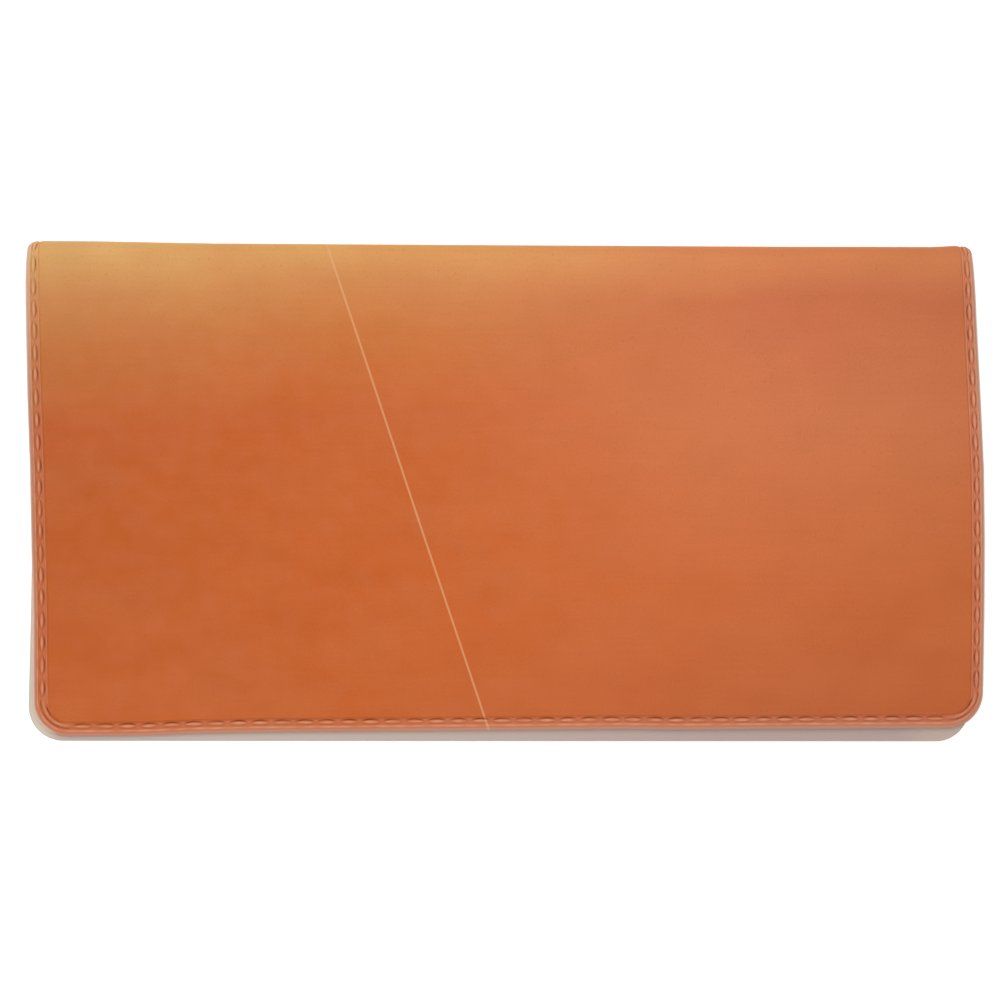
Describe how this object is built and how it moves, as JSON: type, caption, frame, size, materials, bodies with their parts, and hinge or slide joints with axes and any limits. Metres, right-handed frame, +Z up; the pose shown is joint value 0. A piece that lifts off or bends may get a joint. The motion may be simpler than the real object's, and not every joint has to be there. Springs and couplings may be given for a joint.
{
  "type": "checkbook cover",
  "caption": "Closed top-fold vinyl cover for a book of personal checks, with a heat-sealed embossed edge, a pocket in each half and a clear divider flap.",
  "frame": {"origin": "centre of the closed cover's outline, at the outer face that it lies on", "axes": "+X along the fold, +Y across to the fold with the open mouth at -Y, +Z up through the closed cover"},
  "size_m": [0.1667, 0.0868, 0.0034],
  "materials": {
    "printed_vinyl": "satin",
    "lining_vinyl": "satin",
    "clear_film": "gloss"
  },
  "bodies": {
    "front": {"front_cover": "printed_vinyl", "front_outer_bead": "printed_vinyl", "front_inner_bead": "printed_vinyl", "front_stitches": "printed_vinyl", "front_bend": "printed_vinyl", "front_lining": "lining_vinyl", "front_edge_weld": "lining_vinyl", "front_pocket": "lining_vinyl", "front_bend_lining": "lining_vinyl", "divider_flange": "clear_film"},
    "spine": {"spine": "printed_vinyl", "spine_lining": "lining_vinyl"},
    "back": {"back_cover": "printed_vinyl", "back_outer_bead": "printed_vinyl", "back_inner_bead": "printed_vinyl", "back_stitches": "printed_vinyl", "back_bend": "printed_vinyl", "back_lining": "lining_vinyl", "back_edge_weld": "lining_vinyl", "back_pocket": "lining_vinyl", "back_bend_lining": "lining_vinyl"},
    "divider": {"divider": "clear_film"}
  },
  "joints": [
    {"name": "fold_lower", "type": "hinge", "parent": "front", "child": "spine", "pos_m": [0, 0.04309, 0.00036], "axis": [-1, 0, 0], "range_deg": [0, 90]},
    {"name": "fold_upper", "type": "hinge", "parent": "spine", "child": "back", "pos_m": [0, 0.04309, 0.00304], "axis": [-1, 0, 0], "range_deg": [0, 90]},
    {"name": "divider_hinge", "type": "hinge", "parent": "front", "child": "divider", "pos_m": [0, 0.0347, 0.0017], "axis": [-1, 0, 0], "range_deg": [0, 180]}
  ],
  "couplings": [
    {"joint": "fold_upper", "follows": "fold_lower", "ratio": 1},
    {"joint": "divider_hinge", "follows": "fold_lower", "ratio": 2}
  ]
}
